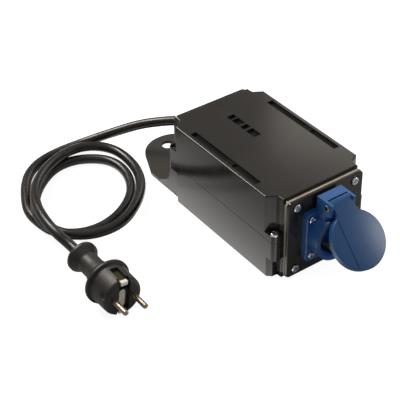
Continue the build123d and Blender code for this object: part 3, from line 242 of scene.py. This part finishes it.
# Each row holds the maker, the name, two colours and the roughness, then what that maker takes besides.
shell_look = (srgb(36, 33, 30), srgb(44, 40, 36), 0.15, 0.00002)
finish_rows = [
    (moulded_plastic, "shell_black", *shell_look),
    (moulded_plastic, "bracket_black", srgb(44, 41, 36), srgb(54, 50, 44), 0.42, 0.00005, 0.0009),
    (rubber, "gasket_cream", srgb(150, 142, 126), srgb(184, 175, 158), 0.6),
    (plated_metal, "screw_chrome", srgb(225, 226, 228), srgb(150, 150, 152), 0.12),
    (moulded_plastic, "socket_blue", srgb(32, 84, 146), srgb(40, 94, 158), 0.3, 0.00004, 0.0012),
    (moulded_plastic, "insert_blue", srgb(30, 78, 146), srgb(38, 88, 156), 0.4, 0.00003),
    (plated_metal, "contact_brass", srgb(226, 192, 140), srgb(170, 132, 88), 0.3, 0.8),
    (rubber, "seal_rubber", srgb(28, 28, 28), srgb(40, 40, 39), 0.55),
    (plated_metal, "pin_nickel", srgb(176, 164, 144), srgb(118, 104, 88), 0.3),
    (moulded_plastic, "gland_black", srgb(30, 30, 30), srgb(38, 38, 37), 0.4, 0.00004),
    (rubber, "cord_rubber", srgb(24, 21, 19), srgb(38, 34, 29), 0.27, 0.0006, 0.00003),
    (rubber, "plug_rubber", srgb(34, 32, 31), srgb(48, 45, 43), 0.42),
    (moulded_plastic, "plug_core_black", srgb(48, 47, 48), srgb(60, 58, 58), 0.4, 0.00003),
    (moulded_plastic, "board_green", srgb(18, 84, 48), srgb(26, 100, 60), 0.35, 0.00004, 0.0008),
    (moulded_plastic, "relay_blue", srgb(36, 84, 170), srgb(44, 94, 182), 0.3, 0.00002),
    (rubber, "ceramic_white", srgb(214, 210, 200), srgb(228, 225, 216), 0.75),
    (moulded_plastic, "capacitor_yellow", srgb(204, 158, 44), srgb(214, 170, 60), 0.3, 0.00002),
    (moulded_plastic, "capacitor_black", srgb(26, 26, 34), srgb(34, 34, 44), 0.3, 0.00002),
    (moulded_plastic, "terminal_green", srgb(40, 128, 74), srgb(50, 142, 86), 0.4, 0.00003),
    (moulded_plastic, "wire_blue", srgb(30, 70, 160), srgb(38, 80, 176), 0.4, 0.00002),
    (moulded_plastic, "wire_green", srgb(120, 150, 40), srgb(140, 168, 52), 0.4, 0.00002),
    (moulded_plastic, "wire_brown", srgb(92, 56, 34), srgb(106, 66, 42), 0.4, 0.00002),
]
finishes = {name: maker(name, *values) for maker, name, *values in finish_rows}


def glass_tube(name):
    """The fuse's clear tube, with faint smears in its gloss."""
    finish = Finish(name)
    smear = finish.noise(0.004, detail=3.0)
    colour = finish.colour(smear, srgb(226, 232, 234), srgb(238, 242, 243))
    finish.set(Base_Color=colour, Roughness=smear * 0.1)
    finish.shader.inputs["Transmission Weight"].default_value = 0.85
    return finish.material


finishes["fuse_glass"] = glass_tube("fuse_glass")


# %% Give every piece of the frame its finish
# The part of the upper shell inside this box, in metres, is seen only down its slots, and is painted
# near black there as shade.
painted_shade_box = (0.0485, 0.063, 0.0842)
lid_crown = (2.6, 0.045)
# How far behind its front the earth strap's painted highlight reaches, in metres.
strap_highlight_length = 0.0005
plug_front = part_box("plug_core")[0].y


def dress(piece, material):
    """Puts one material on all of a piece's slots."""
    piece.data.materials.clear()
    piece.data.materials.append(material)


def painted_light_strap(name, front, highlight_reach):
    """The plug's earth strap, mostly metallic: dark olive painted shade along it, and a pale painted
    highlight on its front and for the given length behind.
    """
    finish = Finish(name)
    # Painted light: the pale front is a painted highlight, and the olive rest is painted shade for the
    # dark reflection.
    painted_highlight = finish.less(finish.axis("Y"), front + highlight_reach)
    finish.set(
        Base_Color=finish.colour(painted_highlight, srgb(74, 66, 48), srgb(246, 240, 226)),
        Metallic=0.7 - painted_highlight * 0.6,
        Roughness=finish.noise(0.002, detail=4.0) * 0.15 + 0.3,
    )
    return finish.material


# The upper shell's plastic, with painted shade inside its top slots.
upper_black_pocket_shade = moulded_plastic("upper_black_pocket_shade", *shell_look, shade_box=painted_shade_box)
lid_look = (srgb(27, 73, 123), srgb(33, 81, 133), 0.3, 0.00004, 0.0012)
lid_blue = moulded_plastic("lid_blue", *lid_look, swell=lid_crown)
# The earth strap is painted with light and shade: a pale highlight at its front and dark olive behind.
clip_painted_light = painted_light_strap("clip_painted_light", plug_front, strap_highlight_length)
# The earth contact plate: pale and barely metallic, painted light standing for the white table that it
# faces.
plate_painted_light = plated_metal("plate_painted_light", srgb(236, 226, 210), srgb(196, 182, 162), 0.35, 0.15)
slot_of = {row["node"]: row["material_slot"] for row in frame["record"]["subparts"]}
for name, piece in nodes.items():
    dress(piece, finishes[slot_of[name]])
dress(nodes["upper_shell"], upper_black_pocket_shade)
dress(nodes["socket_lid"], lid_blue)
dress(nodes["plug_earth_clips"], clip_painted_light)
dress(nodes["plug_earth_contact"], plate_painted_light)
print("finishes:", len(finishes))

# %% [markdown]
# ## The rubber cord
# The cord is one length of rubber flex. It leaves the gland level, droops to the table, runs round in
# two loose turns that fan out, and climbs over its own turns to the plug. A NURBS curve of order 3
# with given points gives the even bend that a stiff rubber sheath has. The two turns come from an
# ellipse that grows and turns as it goes. Its height at each quarter turn is given in layers, which
# keeps the upper turn clear of the lower one, and small listed moves at each half quarter bring the
# turns to where the photograph shows them. Where the cord leaves the gland, a tapered rubber sleeve
# takes the bend. A NURBS curve of order 3 is a chain of parabolas that meet halfway between its points,
# so a curve with the cord's first three points that ends halfway to the fourth follows the cord
# exactly. Lengths are in mm and angles in degrees here; the sleeve's radii are multiples of the cord's.

# %% Route of the cord
cord_diameter = 9.4
floor_gap = 0.05
cord_low = cord_diameter / 2 + floor_gap
gland_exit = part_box("gland_nut")[1].y / MM
gland_height = 42.0
lead_points = [
    (0, gland_exit, gland_height), (0, gland_exit + 6.8, gland_height), (-1, 120.5, 41.2),
    (-5, 131.5, 38.1), (-16, 148, 32.2), (-29.5, 160, 28), (-47.5, 173, 20.5), (-71.5, 190, 9.5),
    (-102, 196, 6), (-124, 193.5, cord_low), (-140, 184.5, cord_low), (-152.5, 170.5, cord_low),
    (-162.5, 153, cord_low),
]
coil_start_angle = 190.0
coil_centre = np.array([(-122.0, 122.0), (-109.5, 117.0)])
coil_long = (55.5, 81.0)
coil_short = (41.5, 49.5)
coil_turned = (41.0, 50.5)
coil_layers = [0, 0, 0, 0, 1, 0.75, 0.42, 0.95, 2]
last_quarter = len(coil_layers) - 1
coil_moves = np.array([
    (0, 0), (0, 0), (-0.5, -2), (1.7, -2), (0.1, -0.8), (-1.2, -2), (0.5, 4.2), (-0.5, 0), (-2.5, -1),
    (-2, -1.5), (-0.5, -7), (0, -3.5), (-4, -3.2), (-3.5, -3.5), (-2, -2), (-4.5, -1.8), (-4.5, -1.5),
])
coil_layer_height = 11.0
way_step = 0.001
points_per_quarter = 4
lead_last = 14.0
tail_first = 14.0
tail_last = 14.0
sleeve_radii = (1.32, 1.24, 1.14, 1.05)


def blend_pair(pair, share):
    """Straight blend between two values."""
    return pair[0] + (pair[1] - pair[0]) * share


def coil_plan(quarters):
    """The coil seen from above: an ellipse whose centre, axes and turn drift, plus the listed moves."""
    share = quarters / last_quarter
    turned = np.radians(blend_pair(coil_turned, share))
    around = np.radians(coil_start_angle + 90 * quarters) - turned
    along = blend_pair(coil_long, share) * np.cos(around)
    across = blend_pair(coil_short, share) * np.sin(around)
    x = blend_pair(coil_centre[:, 0], share) + along * np.cos(turned) - across * np.sin(turned)
    y = blend_pair(coil_centre[:, 1], share) + along * np.sin(turned) + across * np.cos(turned)
    halves = np.arange(len(coil_moves)) / 2
    moved = [np.interp(quarters, halves, column) for column in coil_moves.T]
    return np.stack([x, y], -1) + np.stack(moved, -1)


def coil_height(quarters):
    """Height of the coiled cord: layers at whole quarters, eased with cubic curves in between."""
    layers = np.array(coil_layers, float)
    steps = np.diff(layers)
    before = np.concatenate([[0.0], steps])
    after = np.concatenate([steps, [0.0]])
    slope = np.maximum(0, np.minimum(before, after))
    low = np.clip(np.floor(quarters).astype(int), 0, len(layers) - 2)
    t = quarters - low
    start = layers[low] * (2 * t**3 - 3 * t**2 + 1) + slope[low] * (t**3 - 2 * t**2 + t)
    end = layers[low + 1] * (3 * t**2 - 2 * t**3) + slope[low + 1] * (t**3 - t**2)
    return cord_low + coil_layer_height * (start + end)


def coil_way(quarter):
    """Level direction of the cord at one place of the coil."""
    ends = coil_plan(np.array([quarter - way_step, quarter + way_step]))
    way = ends[1] - ends[0]
    return np.append(way / np.linalg.norm(way), 0.0)


way_in, way_out = coil_way(0.0), coil_way(float(last_quarter))
quarters = np.linspace(0, last_quarter, last_quarter * points_per_quarter + 1)
coil_points = np.column_stack([coil_plan(quarters), coil_height(quarters)])
coil_in = coil_points[0] - way_in * cord_diameter
coil_out = coil_points[-1] + way_out * cord_diameter
lead_in = coil_in - way_in * lead_last
tail_out = coil_out + way_out * tail_first

plug_low, plug_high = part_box("plug_body")
plug_x = (plug_low.x + plug_high.x) / 2 / MM
plug_back = plug_high.y / MM
plug_z = (plug_low.z + plug_high.z) / 2 / MM
tail_points = [tail_out, (plug_x, plug_back + tail_last, plug_z), (plug_x, plug_back, plug_z)]
route = np.array([*lead_points, lead_in, *coil_points, *tail_points], float)
print("cord route has", len(route), "points")


# %% The cord and its sleeve as NURBS tubes
def rubber_cord(name, points, diameter):
    """A round tube along a NURBS curve of order 3 with the given control points, all in mm."""
    curve = bpy.data.curves.new(name, "CURVE")
    curve.dimensions = "3D"
    spline = curve.splines.new("NURBS")
    spline.points.add(len(points) - 1)
    flat = np.column_stack([points * MM, np.ones(len(points))]).ravel()
    spline.points.foreach_set("co", flat)
    spline.order_u = 3
    spline.use_endpoint_u = True
    curve.resolution_u = 8
    curve.bevel_depth = diameter / 2 * MM
    curve.bevel_resolution = 6
    curve.use_fill_caps = True
    piece = bpy.data.objects.new(name, curve)
    bpy.context.scene.collection.objects.link(piece)
    return piece


def curve_length(piece):
    """Length of a curve object's centreline, in metres."""
    bare = piece.data.copy()
    bare.bevel_depth = 0.0
    holder = bpy.data.objects.new("measure", bare)
    mesh = bpy.data.meshes.new_from_object(holder)
    co = np.zeros(len(mesh.vertices) * 3)
    mesh.vertices.foreach_get("co", co)
    co = co.reshape(-1, 3)
    bpy.data.objects.remove(holder)
    bpy.data.curves.remove(bare)
    bpy.data.meshes.remove(mesh)
    return float(np.linalg.norm(np.diff(co, axis=0), axis=1).sum())


supply_cord = rubber_cord("supply_cord", route, cord_diameter)
sleeve_end = (route[2] + route[3]) / 2
cord_sleeve = rubber_cord("cord_sleeve", np.array([*route[:3], sleeve_end]), cord_diameter)
for point, radius in zip(cord_sleeve.data.splines[0].points, sleeve_radii):
    point.radius = radius
for piece in (supply_cord, cord_sleeve):
    dress(piece, finishes["cord_rubber"])
    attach(piece, "box")
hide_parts("cord_lead", "cord_coil", "cord_tail")
cord_length = curve_length(supply_cord)
print(f"cord length {cord_length:.3f} m, sleeve {curve_length(cord_sleeve):.4f} m")

# %% [markdown]
# ## The photo table
# The object was shot on white and its shadow is almost gone. The table is therefore a mid grey for
# light that bounces off it, glows white for the camera, and glows near the box for rays that come
# off glossy faces: that is the pale lower half of the box's long side. The room is bright overhead
# and dim at the horizon, so the cord keeps dark flanks and a bright line along its back.

# %% Table
def photo_table(name, size, bounce, white, glow, glow_from, glow_to, glow_under):
    """A wide flat floor: bounce is its grey, white its glow for the camera, glow that for mirrors.

    The mirrors' glow is full at the box's left side, glow_from to the left of its middle, and fades
    with the cube of the rest of the way, down to nothing at glow_to. It reaches glow_under in below the
    box, and right of that there is none.
    """
    mesh = bpy.data.meshes.new(name)
    half = size / 2
    corners = [(-half, -half, 0), (half, -half, 0), (half, half, 0), (-half, half, 0)]
    mesh.from_pydata(corners, [], [(0, 1, 2, 3)])
    table = bpy.data.objects.new(name, mesh)
    bpy.context.scene.collection.objects.link(table)
    finish = Finish(name)
    seen = finish.node("ShaderNodeLightPath", output="Is Camera Ray")
    mirrored = finish.node("ShaderNodeLightPath", output="Is Glossy Ray")
    across = finish.axis("X")
    near = finish.between(across, -glow_to, -glow_from)
    near = near * finish.less(across, glow_under - glow_from)
    level = seen * white + mirrored * (near * near * near * glow)
    grey = finish.node("ShaderNodeCombineXYZ", {}, {0: level, 1: level, 2: level})
    base = (bounce, bounce, bounce, 1)
    finish.set(Base_Color=base, Roughness=0.9, Emission_Color=grey, Emission_Strength=1.0)
    finish.shader.inputs["Specular IOR Level"].default_value = 0.1
    mesh.materials.append(finish.material)


photo_table(
    "photo_table",
    size=12.0,
    bounce=0.47,
    white=0.88,
    glow=1.75,
    glow_from=0.05,
    glow_to=0.16,
    glow_under=0.004,
)


# %% Lamps and room
def soft_lamp(name, place, aim, size, power, tint=(1.0, 1.0, 1.0)):
    """A square area lamp that points at a spot."""
    lamp = bpy.data.lights.new(name, "AREA")
    lamp.size = size
    lamp.energy = power
    lamp.color = tint
    piece = bpy.data.objects.new(name, lamp)
    piece.location = place
    piece.rotation_euler = (Vector(place) - Vector(aim)).to_track_quat("Z", "Y").to_euler()
    bpy.context.scene.collection.objects.link(piece)


def studio_room(name, horizon, zenith):
    """A room that is white for the camera and otherwise dim at the horizon and bright overhead."""
    world = bpy.data.worlds.new(name)
    bpy.context.scene.world = world
    world.use_nodes = True
    tree = world.node_tree
    coordinate = tree.nodes.new("ShaderNodeTexCoord")
    split = tree.nodes.new("ShaderNodeSeparateXYZ")
    rise = tree.nodes.new("ShaderNodeMapRange")
    rise.inputs["To Min"].default_value = horizon
    rise.inputs["To Max"].default_value = zenith
    path = tree.nodes.new("ShaderNodeLightPath")
    mix = tree.nodes.new("ShaderNodeMix")
    mix.data_type = "RGBA"
    mix.inputs[7].default_value = (1, 1, 1, 1)
    tree.links.new(coordinate.outputs["Generated"], split.inputs[0])
    tree.links.new(split.outputs["Z"], rise.inputs["Value"])
    tree.links.new(rise.outputs[0], mix.inputs[6])
    tree.links.new(path.outputs["Is Camera Ray"], mix.inputs[0])
    tree.links.new(mix.outputs[2], tree.nodes["Background"].inputs["Color"])


middle = (-0.06, 0.04, 0.03)
warm = (1.0, 0.93, 0.84)
studio_room("studio_room", horizon=0.05, zenith=0.52)
soft_lamp("top_lamp", (-0.3, 1.0, 1.15), aim=middle, size=0.6, power=18.0, tint=warm)
soft_lamp("rear_lamp", (1.0, 0.63, 0.55), aim=middle, size=0.7, power=2.1, tint=warm)
soft_lamp("right_lamp", (0.92, -0.66, 0.46), aim=middle, size=0.4, power=3.6)

# %% [markdown]
# ## The camera
# It was fitted to points of the box, the outlet and the plug. Heading, height and roll of its view are
# in degrees. From the middle of the box's underside it stands so far, in mm, to its own right, up and
# back. Its focal length is in pixels of the picture.

# %% Camera
camera_heading = -34.998
camera_height = 37.304
camera_roll = -1.246
camera_side = -57.634
camera_up = 14.957
camera_distance = 1096.66
focal_pixels = 1193.85
picture_pixels = 400.0
sensor_width = 36.0

heading, height, roll = np.radians([camera_heading, camera_height, camera_roll])
back = np.array([np.sin(heading) * np.cos(height), -np.cos(heading) * np.cos(height), np.sin(height)])
level_right = np.array([np.cos(heading), np.sin(heading), 0.0])
level_up = np.cross(back, level_right)
right = level_right * np.cos(roll) + level_up * np.sin(roll)
up = np.cross(back, right)
stand = (right * camera_side + up * camera_up + back * camera_distance) * MM
camera = bpy.data.cameras.new("camera")
camera.sensor_width = sensor_width
camera.lens = focal_pixels / picture_pixels * sensor_width
camera_piece = bpy.data.objects.new("camera", camera)
turned_axes = Matrix((right, up, back)).transposed().to_4x4()
camera_piece.matrix_world = Matrix.Translation(Vector(stand)) @ turned_axes
bpy.context.scene.collection.objects.link(camera_piece)
bpy.context.scene.camera = camera_piece
bpy.context.scene.view_settings.view_transform = "Standard"

# %% Update the scene
bpy.context.view_layer.update()
